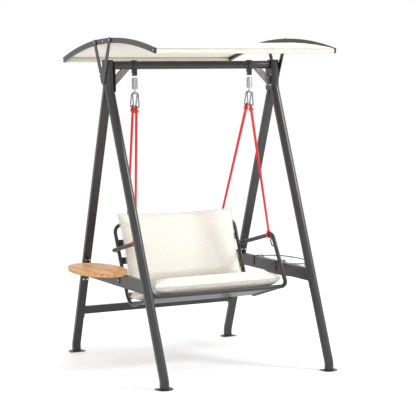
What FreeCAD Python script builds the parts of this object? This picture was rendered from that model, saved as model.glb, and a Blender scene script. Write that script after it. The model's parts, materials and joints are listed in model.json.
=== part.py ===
import FreeCAD, Part
import math
import os
import Sketcher

# Porch swing: an A-frame stand with a top beam, an arched canopy, a hanging
# bench on ropes and springs, an oval side table and an oval wire basket.
# Millimetres. X is across the swing, +Y is towards its back, +Z is up.
# The origin is on the ground, midway between the four feet.

os.makedirs("parts", exist_ok=True)
doc = FreeCAD.newDocument("PorchSwing")
V = FreeCAD.Vector
X_AXIS = V(1, 0, 0)
Y_AXIS = V(0, 1, 0)
Z_AXIS = V(0, 0, 1)
SIDES = (("left", -1), ("right", 1))

SIZES = {
    # stand
    "frame_height": 2050, "leg_spacing": 1222, "foot_spread": 1540, "leg_width": 56,
    "leg_depth": 50, "leg_wall": 2.5, "leg_gap": 1, "upper_bend_drop": 181,
    "lower_bend_level": 54, "upper_bend_radius": 130, "lower_bend_radius": 60, "cap_height": 10,
    "foot_length": 112, "foot_depth": 98, "foot_thickness": 4, "anchor_hole": 9,
    "anchor_spacing": 84,
    # beams
    "top_beam_diameter": 53, "top_beam_wall": 2.5, "top_beam_drop": 34,
    "joint_plate_thickness": 6, "joint_plate_width": 92, "joint_plate_bottom_drop": 204,
    "joint_plate_top_drop": 12, "brace_width": 42, "brace_depth": 20, "brace_reach": 92,
    "side_beam_height": 82, "side_beam_width": 40, "side_beam_level": 623, "beam_wall": 2,
    "rear_beam_height": 54, "rear_beam_depth": 30, "rear_beam_level": 312,
    "flange_thickness": 4, "flange_width": 50, "side_flange_length": 190,
    "rear_flange_length": 96,
    # table and basket
    "table_length": 624, "table_width": 344, "table_thickness": 24, "table_level": 692,
    "table_reach": 103, "table_set_back": 45, "table_strap_reach": 120,
    "plank_gap": 2, "strap_width": 25, "strap_thickness": 4, "strap_spacing": 330,
    "strap_drop": 64, "basket_length": 540, "basket_width": 242, "basket_reach": 150,
    "basket_set_back": 120, "basket_level": 645, "basket_depth": 95,
    "basket_taper": 40, "basket_bar": 8, "basket_wire": 3, "tray_thickness": 1.5,
    "tray_lip": 14,
    # canopy
    "canopy_depth": 1526, "canopy_rise": 93, "canopy_tilt": 2.33, "canopy_above": 27,
    "canopy_forward": 42, "rail_height": 33, "rail_width": 15, "canopy_overhang": 21.5,
    "end_rail_size": 24, "fabric_thickness": 3, "fabric_gap": 0.4,
    "fabric_end_lift": 12.1, "fabric_sag": 14, "bracket_thickness": 6, "bracket_spread": 250,
    "bracket_arm_width": 38, "bracket_bolt_drop": 90, "bracket_bolt_spacing": 68, "bracket_set_back": 12,
    "bracket_hub_radius": 45, "bracket_tip_drop": 156, "bracket_slot_travel": 10.5,
    "bolt_diameter": 8,
    # hangers
    "hanger_spacing": 850, "collar_thickness": 6, "collar_width": 30, "pivot_drop": 90,
    "pin_diameter": 8, "collar_slot": 7, "collar_lug": 26, "spring_diameter": 42, "spring_wire": 5,
    "spring_length": 72, "spring_loop_radius": 13.5, "hook_rod": 9, "hook_length": 98,
    "hook_width": 40, "hook_bend": 15, "hook_spacing": 10.5, "rope_diameter": 10,
    "knot_drop": 14, "knot_height": 16,
    # bench
    "arm_spacing": 1010, "arm_tube": 28, "back_spacing": 924, "back_tube": 25, "tube_wall": 2,
    "front_rail_back": 365, "front_rail_level": 533, "arm_corner_back": 165,
    "arm_corner_level": 873, "arm_rear": 274, "arm_rear_level": 772, "arm_bend": 45,
    "arm_rear_bend": 30, "knee_back": 115, "knee_level": 402, "knee_bend": 110,
    "back_top": 345.4, "back_top_level": 938, "back_top_bend": 60, "slat_width": 48,
    "slat_thickness": 4, "seat_slat_pitch": 58, "back_slat_pitch": 126, "eye_radius": 32,
    "eye_bar": 9, "front_hitch_back": 118, "rear_hitch_spacing": 720,
    # cushions
    "seat_cushion_width": 960, "seat_cushion_set": 62, "seat_cushion_thickness": 110,
    "back_cushion_width": 880, "back_cushion_shift": 26, "back_cushion_thickness": 92,
    "back_cushion_length": 512, "back_cushion_lean": 5.2, "cushion_round": 30,
}

sheet = doc.addObject("Spreadsheet::Sheet", "sizes")
for row, (alias, value) in enumerate(SIZES.items(), start=1):
    sheet.set("A%d" % row, alias.replace("_", " "))
    sheet.set("B%d" % row, str(value))
    sheet.setAlias("B%d" % row, alias)
doc.recompute()


def size(alias):
    return float(sheet.get(alias))


# ---------------------------------------------------------------- helpers

def bind(obj, **expressions):
    """Tie an object's properties to sizes in the sheet."""
    for prop, expression in expressions.items():
        obj.setExpression(prop, expression)


def named(obj, name):
    obj.Label = name
    return obj


def feature(name, shape):
    """A part whose shape is made by sweeps or cuts that the sheet's sizes drive."""
    obj = doc.addObject("Part::Feature", name)
    obj.Label = name
    obj.Shape = shape
    return obj


def rotate_x(vector, degrees):
    return FreeCAD.Rotation(X_AXIS, degrees).multVec(vector)


def box(name, length, width, height, centre, turn=0.0):
    """A box centred on a point and turned about X; its three sizes are sheet expressions."""
    obj = doc.addObject("Part::Box", name)
    obj.Label = name
    bind(obj, Length=length, Width=width, Height=height)
    doc.recompute()
    half = V(obj.Length.Value / 2, obj.Width.Value / 2, obj.Height.Value / 2)
    obj.Placement = FreeCAD.Placement(centre - rotate_x(half, turn),
                                      FreeCAD.Rotation(X_AXIS, turn))
    return obj


def round_bar(name, radius, height, start, direction):
    obj = doc.addObject("Part::Cylinder", name)
    obj.Label = name
    bind(obj, Radius=radius, Height=height)
    obj.Placement = FreeCAD.Placement(start, FreeCAD.Rotation(Z_AXIS, direction))
    return obj


def route(points, radii, closed=False):
    """A wire of straight runs joined by tangent arcs, one radius for each corner."""
    count = len(points)
    corners = range(count) if closed else range(1, count - 1)
    starts = {}
    edges = []
    arcs = {}
    for number, index in enumerate(corners):
        corner = points[index]
        back = (points[index - 1] - corner).normalize()
        ahead = (points[(index + 1) % count] - corner).normalize()
        half = back.getAngle(ahead) / 2
        reach = radii[number] / math.tan(half)
        inner = (back + ahead).normalize()
        centre = corner + inner * (radii[number] / math.sin(half))
        first = corner + back * reach
        last = corner + ahead * reach
        arcs[index] = (first, centre - inner * radii[number], last)
        starts[index] = (first, last)
    steps = range(count) if closed else range(count - 1)
    for index in steps:
        after = (index + 1) % count
        begin = starts[index][1] if index in starts else points[index]
        end = starts[after][0] if after in starts else points[after]
        if (end - begin).Length > 1e-4:
            edges.append(Part.makeLine(begin, end))
        if after in arcs:
            edges.append(Part.Arc(*arcs[after]).toShape())
    return Part.Wire(edges)


def swept(path, radius):
    """A solid round bar along a wire."""
    edge = path.Edges[0]
    start = edge.valueAt(edge.FirstParameter)
    tangent = edge.tangentAt(edge.FirstParameter)
    profile = Part.Wire([Part.makeCircle(radius, start, tangent)])
    return path.makePipeShell([profile], True, False)


def tube(path, radius, wall):
    return swept(path, radius).cut(swept(path, radius - wall))


def oval(centre, length, width):
    """A flat oval wire, longer along Y."""
    ellipse = Part.Ellipse(centre, length / 2, width / 2)
    ellipse.rotate(FreeCAD.Placement(centre, FreeCAD.Rotation(Z_AXIS, 90), V(0, 0, 0)))
    return Part.Wire([ellipse.toShape()])


def bolt_solid(position, direction, head_radius, head_height, shank_radius, shank_length):
    """A domed bolt whose head sits on the given point and whose shank runs inward."""
    head = Part.makeCylinder(head_radius, head_height, position, direction)
    rim = [edge for edge in head.Edges if edge.Curve.TypeId == "Part::GeomCircle"
           and (edge.CenterOfMass - position).Length > head_height / 2]
    head = head.makeFillet(head_height * 0.6, rim)
    if shank_length:
        back = V(direction).negative()
        head = head.fuse(Part.makeCylinder(shank_radius, shank_length, position, back))
    return head


# ---------------------------------------------------------------- leg lines

leg_x = size("leg_spacing") / 2
foot_y = size("foot_spread") / 2
leg_half = size("leg_depth") / 2
top_y = leg_half + size("leg_gap") / 2
low_z = size("lower_bend_level")
frame_top = size("frame_height")
high_z = frame_top - size("upper_bend_drop")
leg_top = frame_top - size("cap_height")
leg_angle = math.degrees(math.atan((foot_y - top_y) / (high_z - low_z)))
leg_slope = (foot_y - top_y) / (high_z - low_z)
inner_x = leg_x - size("leg_width") / 2
outer_x = leg_x + size("leg_width") / 2


def leg_y(level):
    """Distance of a leg's centre line from the middle of the stand at a level."""
    return foot_y - leg_slope * (level - low_z)


def leg_inner_y(level):
    return leg_y(level) - leg_half / math.cos(math.radians(leg_angle))


# ---------------------------------------------------------------- legs

def d_outline(sketch, width, depth, corner):
    """A D section: a flat edge towards +Y, rounded shoulders towards -Y."""
    half_w = width / 2
    half_d = depth / 2
    bulge = half_w
    points = [V(-half_w + corner, half_d, 0), V(half_w - corner, half_d, 0),
              V(half_w, half_d - corner, 0), V(half_w, half_d - depth + bulge, 0)]
    sketch.addGeometry(Part.LineSegment(points[0], points[1]), False)
    turn = corner * (1 - math.sqrt(0.5))
    sketch.addGeometry(Part.Arc(points[1], V(half_w - turn, half_d - turn, 0), points[2]), False)
    sketch.addGeometry(Part.LineSegment(points[2], points[3]), False)
    left = V(-half_w, half_d - depth + bulge, 0)
    sketch.addGeometry(Part.Arc(points[3], V(0, -half_d, 0), left), False)
    sketch.addGeometry(Part.LineSegment(left, V(-half_w, half_d - corner, 0)), False)
    sketch.addGeometry(Part.Arc(V(-half_w, half_d - corner, 0),
                                V(-half_w + turn, half_d - turn, 0), points[0]), False)


def origin_plane(body, word):
    return [item for item in body.Origin.OriginFeatures if word in item.Name][0]


def sketch_on(body, name, plane, offset=0.0):
    sketch = body.newObject("Sketcher::SketchObject", name)
    sketch.AttachmentSupport = [(origin_plane(body, plane), "")]
    sketch.MapMode = "FlatFace"
    sketch.AttachmentOffset = FreeCAD.Placement(V(0, 0, offset), FreeCAD.Rotation())
    return sketch


def make_leg(name, side, turn):
    """One bent hollow leg, drawn as a front leg and turned for the rear."""
    body = doc.addObject("PartDesign::Body", name)
    body.Label = name
    spine = sketch_on(body, name + "_line", "YZ")
    corners = [V(-foot_y, size("foot_thickness"), 0), V(-foot_y, low_z, 0),
               V(-top_y, high_z, 0), V(-top_y, leg_top, 0)]
    wire = route(corners, [size("lower_bend_radius"), size("upper_bend_radius")])
    for edge in wire.Edges:
        if edge.Curve.TypeId == "Part::GeomLine":
            spine.addGeometry(Part.LineSegment(edge.Vertexes[0].Point,
                                               edge.Vertexes[1].Point), False)
        else:
            middle = edge.valueAt((edge.FirstParameter + edge.LastParameter) / 2)
            spine.addGeometry(Part.Arc(edge.Vertexes[0].Point, middle,
                                       edge.Vertexes[1].Point), False)
    section = sketch_on(body, name + "_section", "XY", size("foot_thickness"))
    section.AttachmentOffset = FreeCAD.Placement(V(0, -foot_y, size("foot_thickness")),
                                                 FreeCAD.Rotation())
    wall = size("leg_wall")
    d_outline(section, size("leg_width"), size("leg_depth"), 4)
    d_outline(section, size("leg_width") - 2 * wall, size("leg_depth") - 2 * wall, 2)
    pipe = body.newObject("PartDesign::AdditivePipe", name + "_sweep")
    pipe.Profile = section
    pipe.Spine = (spine, ["Edge%d" % number for number in range(1, len(wire.Edges) + 1)])
    pipe.Mode = 0
    body.Tip = pipe
    body.Placement = FreeCAD.Placement(V(side * leg_x, 0, 0), FreeCAD.Rotation(Z_AXIS, turn))
    return body


def make_foot(name, side, turn):
    """A flat foot plate, rounded on its outer edge, with two anchor holes."""
    body = doc.addObject("PartDesign::Body", name)
    body.Label = name
    plan = sketch_on(body, name + "_plan", "XY")
    d_outline(plan, size("foot_length"), size("foot_depth"), 10)
    pad = body.newObject("PartDesign::Pad", name + "_plate")
    pad.Profile = plan
    bind(pad, Length="sizes.foot_thickness")
    holes = sketch_on(body, name + "_hole_plan", "XY")
    for way in (-1, 1):
        holes.addGeometry(Part.Circle(V(way * size("anchor_spacing") / 2, 0, 0), Z_AXIS,
                                      size("anchor_hole") / 2), False)
        number = holes.addConstraint(Sketcher.Constraint("Radius", holes.GeometryCount - 1,
                                                         size("anchor_hole") / 2))
        holes.setExpression("Constraints[%d]" % number, "sizes.anchor_hole / 2")
    pocket = body.newObject("PartDesign::Pocket", name + "_holes")
    pocket.Profile = holes
    pocket.Type = 1
    pocket.Reversed = True
    body.Tip = pocket
    body.Placement = FreeCAD.Placement(V(side * leg_x, -foot_y, 0) if turn == 0
                                       else V(side * leg_x, foot_y, 0),
                                       FreeCAD.Rotation(Z_AXIS, turn))
    return body


def make_cap(name, side, turn):
    """A domed plug on the top end of a leg."""
    body = doc.addObject("PartDesign::Body", name)
    body.Label = name
    plan = sketch_on(body, name + "_plan", "XY")
    d_outline(plan, size("leg_width"), size("leg_depth"), 4)
    pad = body.newObject("PartDesign::Pad", name + "_dome")
    pad.Profile = plan
    bind(pad, Length="sizes.cap_height")
    doc.recompute()
    top = ["Edge%d" % number for number, edge in enumerate(pad.Shape.Edges, start=1)
           if min(vertex.Point.z for vertex in edge.Vertexes) > size("cap_height") - 0.01]
    soft = body.newObject("PartDesign::Fillet", name + "_round")
    soft.Base = (pad, top)
    bind(soft, Radius="sizes.cap_height * 0.35")
    body.Tip = soft
    way = -1 if turn == 0 else 1
    body.Placement = FreeCAD.Placement(V(side * leg_x, way * top_y, leg_top),
                                       FreeCAD.Rotation(Z_AXIS, turn))
    return body


def grouped(name, members):
    """Identical pieces that share one part file, each still its own solid."""
    group = doc.addObject("Part::Compound", name)
    group.Links = members
    group.Label = name
    return group


nodes = []
legs = []
caps = []
for row_name, turn in (("front", 0), ("rear", 180)):
    feet = []
    for side_name, side in SIDES:
        tail = "%s_%s" % (row_name, side_name)
        legs.append(make_leg("leg_" + tail, side, turn))
        feet.append(make_foot("foot_plate_" + tail, side, turn))
        caps.append(make_cap("leg_cap_" + tail, side, turn))
    nodes.append(grouped("foot_plates_" + row_name, feet))
nodes += legs
nodes.append(grouped("leg_caps", caps))
doc.recompute()

# ---------------------------------------------------------------- top beam

beam_radius = size("top_beam_diameter") / 2
beam_z = frame_top - size("top_beam_drop")
plate = size("joint_plate_thickness")
beam_half = inner_x - plate
beam_outer = round_bar("top_beam_outside", "sizes.top_beam_diameter / 2",
                       "sizes.leg_spacing - sizes.leg_width - 2 * sizes.joint_plate_thickness",
                       V(-beam_half, 0, beam_z), X_AXIS)
beam_bore = round_bar("top_beam_bore", "sizes.top_beam_diameter / 2 - sizes.top_beam_wall",
                      "sizes.leg_spacing - sizes.leg_width - 2 * sizes.joint_plate_thickness",
                      V(-beam_half, 0, beam_z), X_AXIS)
top_beam = doc.addObject("Part::Cut", "top_beam")
top_beam.Base = beam_outer
top_beam.Tool = beam_bore
nodes.append(named(top_beam, "top_beam"))

joint_low = frame_top - size("joint_plate_bottom_drop")
joint_high = frame_top - size("joint_plate_top_drop")
joint_bolts = []
for side_name, side in SIDES:
    blank = box("joint_plate_blank_" + side_name, "sizes.joint_plate_thickness",
                "sizes.joint_plate_width",
                "sizes.joint_plate_bottom_drop - sizes.joint_plate_top_drop",
                V(side * (inner_x - plate / 2), 0, (joint_low + joint_high) / 2))
    doc.recompute()
    corners = [number for number, edge in enumerate(blank.Shape.Edges, start=1)
               if abs(edge.tangentAt(edge.FirstParameter).x) > 0.9]
    rounded = doc.addObject("Part::Fillet", "joint_plate_round_" + side_name)
    rounded.Base = blank
    rounded.Edges = [(number, 12.0, 12.0) for number in corners]
    bores = []
    for number, (way, drop) in enumerate([(-1, 168), (1, 168), (-1, 100), (1, 100)]):
        seat = V(side * (inner_x - plate), way * 29, frame_top - drop)
        bores.append(round_bar("joint_bore_%s_%d" % (side_name, number), "sizes.bolt_diameter / 2",
                               "sizes.joint_plate_thickness", seat, V(side, 0, 0)))
        joint_bolts.append(bolt_solid(seat, V(-side, 0, 0), 7, 5, 4, plate))
    drilled = doc.addObject("Part::Cut", "joint_plate_" + side_name)
    drilled.Base = rounded
    drilled.Tool = grouped("joint_bores_" + side_name, bores)
    nodes.append(named(drilled, "joint_plate_" + side_name))

    reach = size("brace_reach")
    run = size("brace_width") / math.sqrt(2)
    under = beam_z - beam_radius + 6
    outline = Part.makePolygon([
        V(side * (beam_half - reach - run), 0, under), V(side * (beam_half - reach + run), 0, under),
        V(side * beam_half, 0, under - reach + run), V(side * beam_half, 0, under - reach - run),
        V(side * (beam_half - reach - run), 0, under)])
    brace = Part.Face(outline).extrude(V(0, size("brace_depth"), 0))
    brace.translate(V(0, -size("brace_depth") / 2, 0))
    core = Part.makeCylinder(beam_radius, 2 * beam_half, V(-beam_half, 0, beam_z), X_AXIS)
    nodes.append(feature("knee_brace_" + side_name, brace.cut(core)))
nodes.append(feature("joint_bolts", Part.makeCompound(joint_bolts)))

# ---------------------------------------------------------------- side beams

beam_level = size("side_beam_level")
slant = size("flange_thickness") / math.cos(math.radians(leg_angle))
beam_bolts = []
for side_name, side in SIDES:
    low = beam_level - size("side_beam_height") / 2
    high = beam_level + size("side_beam_height") / 2

    def side_profile(inset):
        bottom = low + inset
        top = high - inset
        return Part.makePolygon([V(0, -leg_inner_y(bottom) + slant, bottom),
                                 V(0, leg_inner_y(bottom) - slant, bottom),
                                 V(0, leg_inner_y(top) - slant, top),
                                 V(0, -leg_inner_y(top) + slant, top),
                                 V(0, -leg_inner_y(bottom) + slant, bottom)])

    wide = size("side_beam_width")
    wall = size("beam_wall")
    solid = Part.Face(side_profile(0)).extrude(V(wide, 0, 0))
    solid.translate(V(side * leg_x - wide / 2, 0, 0))
    hollow = Part.Face(side_profile(wall)).extrude(V(wide - 2 * wall, 0, 0))
    hollow.translate(V(side * leg_x - wide / 2 + wall, 0, 0))
    nodes.append(feature("side_beam_" + side_name, solid.cut(hollow)))

    flanges = []
    for row_name, way in (("front", -1), ("rear", 1)):
        face = V(side * leg_x, way * leg_inner_y(beam_level), beam_level)
        normal = V(0, -way * math.cos(math.radians(leg_angle)),
                   -math.sin(math.radians(leg_angle)))
        along = V(0, -way * math.sin(math.radians(leg_angle)),
                  math.cos(math.radians(leg_angle)))
        name = "side_flange_%s_%s" % (row_name, side_name)
        flanges.append(box(name, "sizes.flange_width", "sizes.flange_thickness",
                           "sizes.side_flange_length",
                           face + normal * (size("flange_thickness") / 2), way * leg_angle))
        for step in (-76, 76):
            for shift in (-13, 13):
                spot = face + along * step + V(shift, 0, 0)
                beam_bolts.append(bolt_solid(spot + normal * size("flange_thickness"),
                                             normal, 6.5, 4.5, 4, 0))
    nodes.append(grouped("side_flanges_" + side_name, flanges))
nodes.append(feature("side_beam_bolts", Part.makeCompound(beam_bolts)))

# ---------------------------------------------------------------- rear beam

rear_z = size("rear_beam_level")
rear_y = leg_y(rear_z)
rear_half = inner_x - size("flange_thickness")
rear_box = box("rear_beam_outside",
               "sizes.leg_spacing - sizes.leg_width - 2 * sizes.flange_thickness",
               "sizes.rear_beam_depth", "sizes.rear_beam_height", V(0, rear_y, rear_z))
rear_bore = box("rear_beam_bore",
                "sizes.leg_spacing - sizes.leg_width - 2 * sizes.flange_thickness",
                "sizes.rear_beam_depth - 2 * sizes.beam_wall",
                "sizes.rear_beam_height - 2 * sizes.beam_wall", V(0, rear_y, rear_z))
rear_beam = doc.addObject("Part::Cut", "rear_beam")
rear_beam.Base = rear_box
rear_beam.Tool = rear_bore
nodes.append(named(rear_beam, "rear_beam"))
nodes.append(grouped("rear_flanges", [
    box("rear_flange_" + side_name, "sizes.flange_thickness", "sizes.leg_depth - 6",
        "sizes.rear_flange_length",
        V(side * (inner_x - size("flange_thickness") / 2), rear_y, rear_z), leg_angle)
    for side_name, side in SIDES]))

# ---------------------------------------------------------------- table

table_x = -leg_x - size("table_reach")
table_y = size("table_set_back")
table_low = size("table_level") - size("table_thickness")
outline = oval(V(table_x, table_y, table_low), size("table_length"), size("table_width"))
table = Part.Face(outline).extrude(V(0, 0, size("table_thickness")))
table = table.makeFillet(3, [edge for edge in table.Edges
                             if edge.Curve.TypeId == "Part::GeomEllipse"])
half_gap = size("plank_gap") / 2
for name, way in (("table_half_outer", -1), ("table_half_inner", 1)):
    keep = Part.makeBox(size("table_width"), size("table_length") + 20,
                        size("table_thickness") + 20,
                        V(table_x + half_gap if way > 0
                          else table_x - half_gap - size("table_width"),
                          table_y - size("table_length") / 2 - 10, table_low - 10))
    nodes.append(feature(name, table.common(keep)))

beam_top = beam_level + size("side_beam_height") / 2
thick = size("strap_thickness")
strap_w = size("strap_width")


def strap(side, reach_out, outer_drop, y_centre, lip_drop=0):
    """A flat steel strap folded over a side beam, with an arm that runs outward."""
    near = leg_x - size("side_beam_width") / 2
    far = leg_x + size("side_beam_width") / 2
    front = y_centre - strap_w / 2
    shape = Part.makeBox(reach_out - near + thick, strap_w, thick,
                         V(near - thick, front, beam_top))
    shape = shape.fuse([
        Part.makeBox(thick, strap_w, size("strap_drop"),
                     V(near - thick, front, beam_top - size("strap_drop"))),
        Part.makeBox(thick, strap_w, outer_drop, V(far, front, beam_top - outer_drop))])
    if lip_drop:
        shape = shape.fuse(Part.makeBox(thick, strap_w, lip_drop,
                                        V(reach_out - thick, front, beam_top - lip_drop)))
    shape = shape.removeSplitter()
    return shape if side > 0 else shape.mirror(V(0, 0, 0), X_AXIS)


straps = []
screws = []
for way in (-1, 1):
    y_centre = table_y + way * size("strap_spacing") / 2
    straps.append(strap(-1, leg_x + size("table_reach") + size("table_strap_reach"), 60, y_centre))
    outer_face = -(leg_x + size("side_beam_width") / 2 + thick)
    screws.append(bolt_solid(V(outer_face, y_centre, beam_top - 38), V(-1, 0, 0), 5.5, 3.5, 3, 0))
    for shift in (-90, 50):
        screws.append(bolt_solid(V(table_x + shift, y_centre, beam_top), V(0, 0, -1),
                                 5, 3, 2.5, 0))
nodes.append(feature("table_straps", Part.makeCompound(straps)))
nodes.append(feature("table_screws", Part.makeCompound(screws)))

# ---------------------------------------------------------------- basket

basket_x = leg_x + size("basket_reach")
basket_y = size("basket_set_back")
rim_z = size("basket_level")
floor_z = rim_z - size("basket_depth")
bar = size("basket_bar") / 2
wire_r = size("basket_wire") / 2


def oval_ring(centre, length, width, radius):
    path = oval(centre, length, width)
    start = path.Edges[0].valueAt(0)
    tangent = path.Edges[0].tangentAt(0)
    profile = Part.Wire([Part.makeCircle(radius, start, tangent)])
    return path.makePipeShell([profile], True, True)


def oval_point(angle, length, width, level):
    return V(basket_x + width / 2 * math.cos(angle), basket_y + length / 2 * math.sin(angle),
             level)


rim = oval_ring(V(basket_x, basket_y, rim_z), size("basket_length"), size("basket_width"), bar)
nodes.append(feature("basket_rim", rim))
floor_length = size("basket_length") - size("basket_taper")
floor_width = size("basket_width") - size("basket_taper")
tray = Part.Face(oval(V(basket_x, basket_y, floor_z), floor_length, floor_width))
tray = tray.extrude(V(0, 0, size("tray_lip")))
scoop = Part.Face(oval(V(basket_x, basket_y, floor_z + size("tray_thickness")),
                       floor_length - 2 * size("tray_thickness"),
                       floor_width - 2 * size("tray_thickness")))
tray = tray.cut(scoop.extrude(V(0, 0, size("tray_lip"))))
nodes.append(feature("basket_tray", tray))
wires = []
wire_count = 8
for number in range(wire_count):
    angle = 2 * math.pi * (number + 0.5) / wire_count
    top = oval_point(angle, size("basket_length"), size("basket_width"), rim_z)
    low = oval_point(angle, floor_length + 2 * wire_r, floor_width + 2 * wire_r,
                     floor_z + size("tray_lip") / 2)
    line = Part.Wire([Part.makeLine(top, low)])
    stick = swept(line, wire_r).cut(rim).cut(tray)
    wires.append(max(stick.Solids, key=lambda solid: solid.Volume))
nodes.append(feature("basket_wires", Part.makeCompound(wires)))
hooks = []
for way in (-1, 1):
    hook_y = way * size("strap_spacing") / 2
    rim_gap = size("basket_width") / 2 * math.sqrt(1 - (2 * hook_y / size("basket_length")) ** 2)
    hook = strap(1, basket_x - rim_gap + thick / 2, 30, basket_y + hook_y, beam_top - rim_z + 6)
    hooks.append(max(hook.cut(rim).Solids, key=lambda solid: solid.Volume))
nodes.append(feature("basket_hooks", Part.makeCompound(hooks)))

# ---------------------------------------------------------------- canopy

tilt = math.radians(size("canopy_tilt"))
along = V(0, math.cos(tilt), -math.sin(tilt))
above = V(0, math.sin(tilt), math.cos(tilt))
chord_mid = V(0, -size("canopy_forward"), frame_top + size("canopy_above"))
half_chord = size("canopy_depth") / 2
rise = size("canopy_rise")
arch_radius = half_chord ** 2 / (2 * rise) + rise / 2
arch_centre = chord_mid + above * (rise - arch_radius)
half_sweep = math.asin(half_chord / arch_radius)


def arch_point(fraction, offset, x):
    """A point on the canopy's arch: fraction -1 is its front end and +1 its back end."""
    turn = half_sweep * fraction
    ray = along * math.sin(turn) + above * math.cos(turn)
    return arch_centre + ray * (arch_radius + offset) + V(x, 0, 0)


def arch_band(low, high, x_from, x_to, start=-1.0, end=1.0, sag=0.0):
    """A curved slab between two offsets from the arch line, lower by sag at its middle."""
    middle = (start + end) / 2
    top = Part.Arc(arch_point(start, high, 0), arch_point(middle, high - sag, 0),
                   arch_point(end, high, 0)).toShape()
    base = Part.Arc(arch_point(start, low, 0), arch_point(middle, low - sag, 0),
                    arch_point(end, low, 0)).toShape()
    closing = [Part.makeLine(arch_point(start, low, 0), arch_point(start, high, 0)),
               Part.makeLine(arch_point(end, low, 0), arch_point(end, high, 0))]
    face = Part.Face(Part.Wire(Part.__sortEdges__([top, base] + closing)))
    face.translate(V(x_from, 0, 0))
    return face.extrude(V(x_to - x_from, 0, 0))


rail_x = leg_x + size("canopy_overhang")
rail_half = size("rail_width") / 2
rail_deep = size("rail_height") / 2
for side_name, side in SIDES:
    middle = side * rail_x
    outside = arch_band(-rail_deep, rail_deep, middle - rail_half, middle + rail_half)
    inside = arch_band(-rail_deep + 2, rail_deep - 2, middle - rail_half + 2,
                       middle + rail_half - 2, -0.985, 0.985)
    nodes.append(feature("canopy_arch_" + side_name, outside.cut(inside)))

end_size = size("end_rail_size")
rail_length = "sizes.leg_spacing + 2 * sizes.canopy_overhang - sizes.rail_width"
reach = end_size / 2 / arch_radius / half_sweep
for name, fraction in (("canopy_front_rail", -1 + reach), ("canopy_rear_rail", 1 - reach)):
    centre = arch_point(fraction, -2, 0)
    lean = math.degrees(-half_sweep * fraction) - size("canopy_tilt")
    outside = box(name + "_outside", rail_length, "sizes.end_rail_size",
                  "sizes.end_rail_size", centre, lean)
    bore = box(name + "_bore", rail_length,
               "sizes.end_rail_size - 4", "sizes.end_rail_size - 4", centre, lean)
    rail = doc.addObject("Part::Cut", name)
    rail.Base = outside
    rail.Tool = bore
    nodes.append(named(rail, name))

fabric_low = size("fabric_end_lift")
fabric = arch_band(fabric_low, fabric_low + size("fabric_thickness"),
                   -rail_x + rail_half + size("fabric_gap"),
                   rail_x - rail_half - size("fabric_gap"), -0.998, 0.998,
                   fabric_low + size("fabric_sag"))
nodes.append(feature("canopy_fabric", fabric))

bracket_x = rail_x + rail_half
bolt_z = frame_top - size("bracket_bolt_drop")
bolt_half = size("bracket_bolt_spacing") / 2
bolt_r = size("bolt_diameter") / 2
arm_half = size("bracket_arm_width") / 2
spread = size("bracket_spread") / 2
hub_y = size("bracket_set_back")
hub_r = size("bracket_hub_radius")
nose_r = hub_r * 0.75
bracket_thick = size("bracket_thickness")
slot_travel = size("bracket_slot_travel")
pivot_bolts = []
for side_name, side in SIDES:
    pieces = []
    for way in (-1, 1):
        fraction = (way * spread + size("canopy_forward")) / half_chord
        head = arch_point(fraction, 4, 0)
        foot = V(0, hub_y + way * (hub_r - arm_half), bolt_z)
        run = (head - foot).normalize()
        cross = V(0, run.z, -run.y)
        blade = Part.Face(Part.makePolygon([
            foot - cross * arm_half, head - cross * arm_half * 0.85,
            head + cross * arm_half * 0.85, foot + cross * arm_half,
            foot - cross * arm_half])).extrude(V(bracket_thick, 0, 0))
        pieces.append(blade)
        pieces.append(Part.makeCylinder(arm_half * 0.85, bracket_thick, head, X_AXIS))
    pieces.append(Part.makeCylinder(hub_r, bracket_thick, V(0, hub_y, bolt_z), X_AXIS))
    nose_z = frame_top - size("bracket_tip_drop") + nose_r
    pieces.append(Part.makeCylinder(nose_r, bracket_thick, V(0, hub_y, nose_z), X_AXIS))
    plate_shape = pieces[0].fuse(pieces[1:]).removeSplitter()
    slot_r = bolt_r + 0.8
    pivot_hole = Part.makeCylinder(bolt_r + 0.05, 40, V(-10, hub_y - bolt_half, bolt_z), X_AXIS)
    slot = [Part.makeCylinder(slot_r, 40, V(-10, hub_y + bolt_half, bolt_z + step), X_AXIS)
            for step in (-slot_travel, slot_travel)]
    slot.append(Part.makeBox(40, 2 * slot_r, 2 * slot_travel,
                             V(-10, hub_y + bolt_half - slot_r, bolt_z - slot_travel)))
    plate_shape = plate_shape.cut(pivot_hole).cut(slot[0].fuse(slot[1:]))
    at_x = bracket_x if side > 0 else -bracket_x - bracket_thick
    plate_shape.translate(V(at_x, 0, 0))
    nodes.append(feature("canopy_bracket_" + side_name, plate_shape))

    outward = V(side, 0, 0)
    for way in (-1, 1):
        start = V(side * leg_x, hub_y + way * bolt_half, bolt_z)
        length = bracket_x + bracket_thick + 0.3 - leg_x
        shank = Part.makeCylinder(bolt_r, length, start, outward)
        head = bolt_solid(start + outward * length, outward, 7.5, 5, bolt_r, 0)
        pin = shank.fuse(head).removeSplitter()
        for leg in legs:
            pin = pin.cut(leg.Shape)
        pivot_bolts.append(max(pin.Solids, key=lambda solid: solid.Volume))
nodes.append(feature("canopy_pivot_bolts", Part.makeCompound(pivot_bolts)))

screws = []
for side_name, side in SIDES:
    face_x = side * (bracket_x + size("bracket_thickness"))
    for way in (-1, 1):
        fraction = (way * spread + size("canopy_forward")) / half_chord
        screws.append(bolt_solid(arch_point(fraction, 4, face_x), V(side, 0, 0), 5, 3, 3, 0))
    for fraction in (-0.985 + reach * 0.5, 0.985 - reach * 0.5, 0.055):
        screws.append(bolt_solid(arch_point(fraction, 0, side * bracket_x), V(side, 0, 0),
                                 4.5, 2.5, 3, 0))
nodes.append(feature("canopy_screws", Part.makeCompound(screws)))

# ---------------------------------------------------------------- hangers

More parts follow.
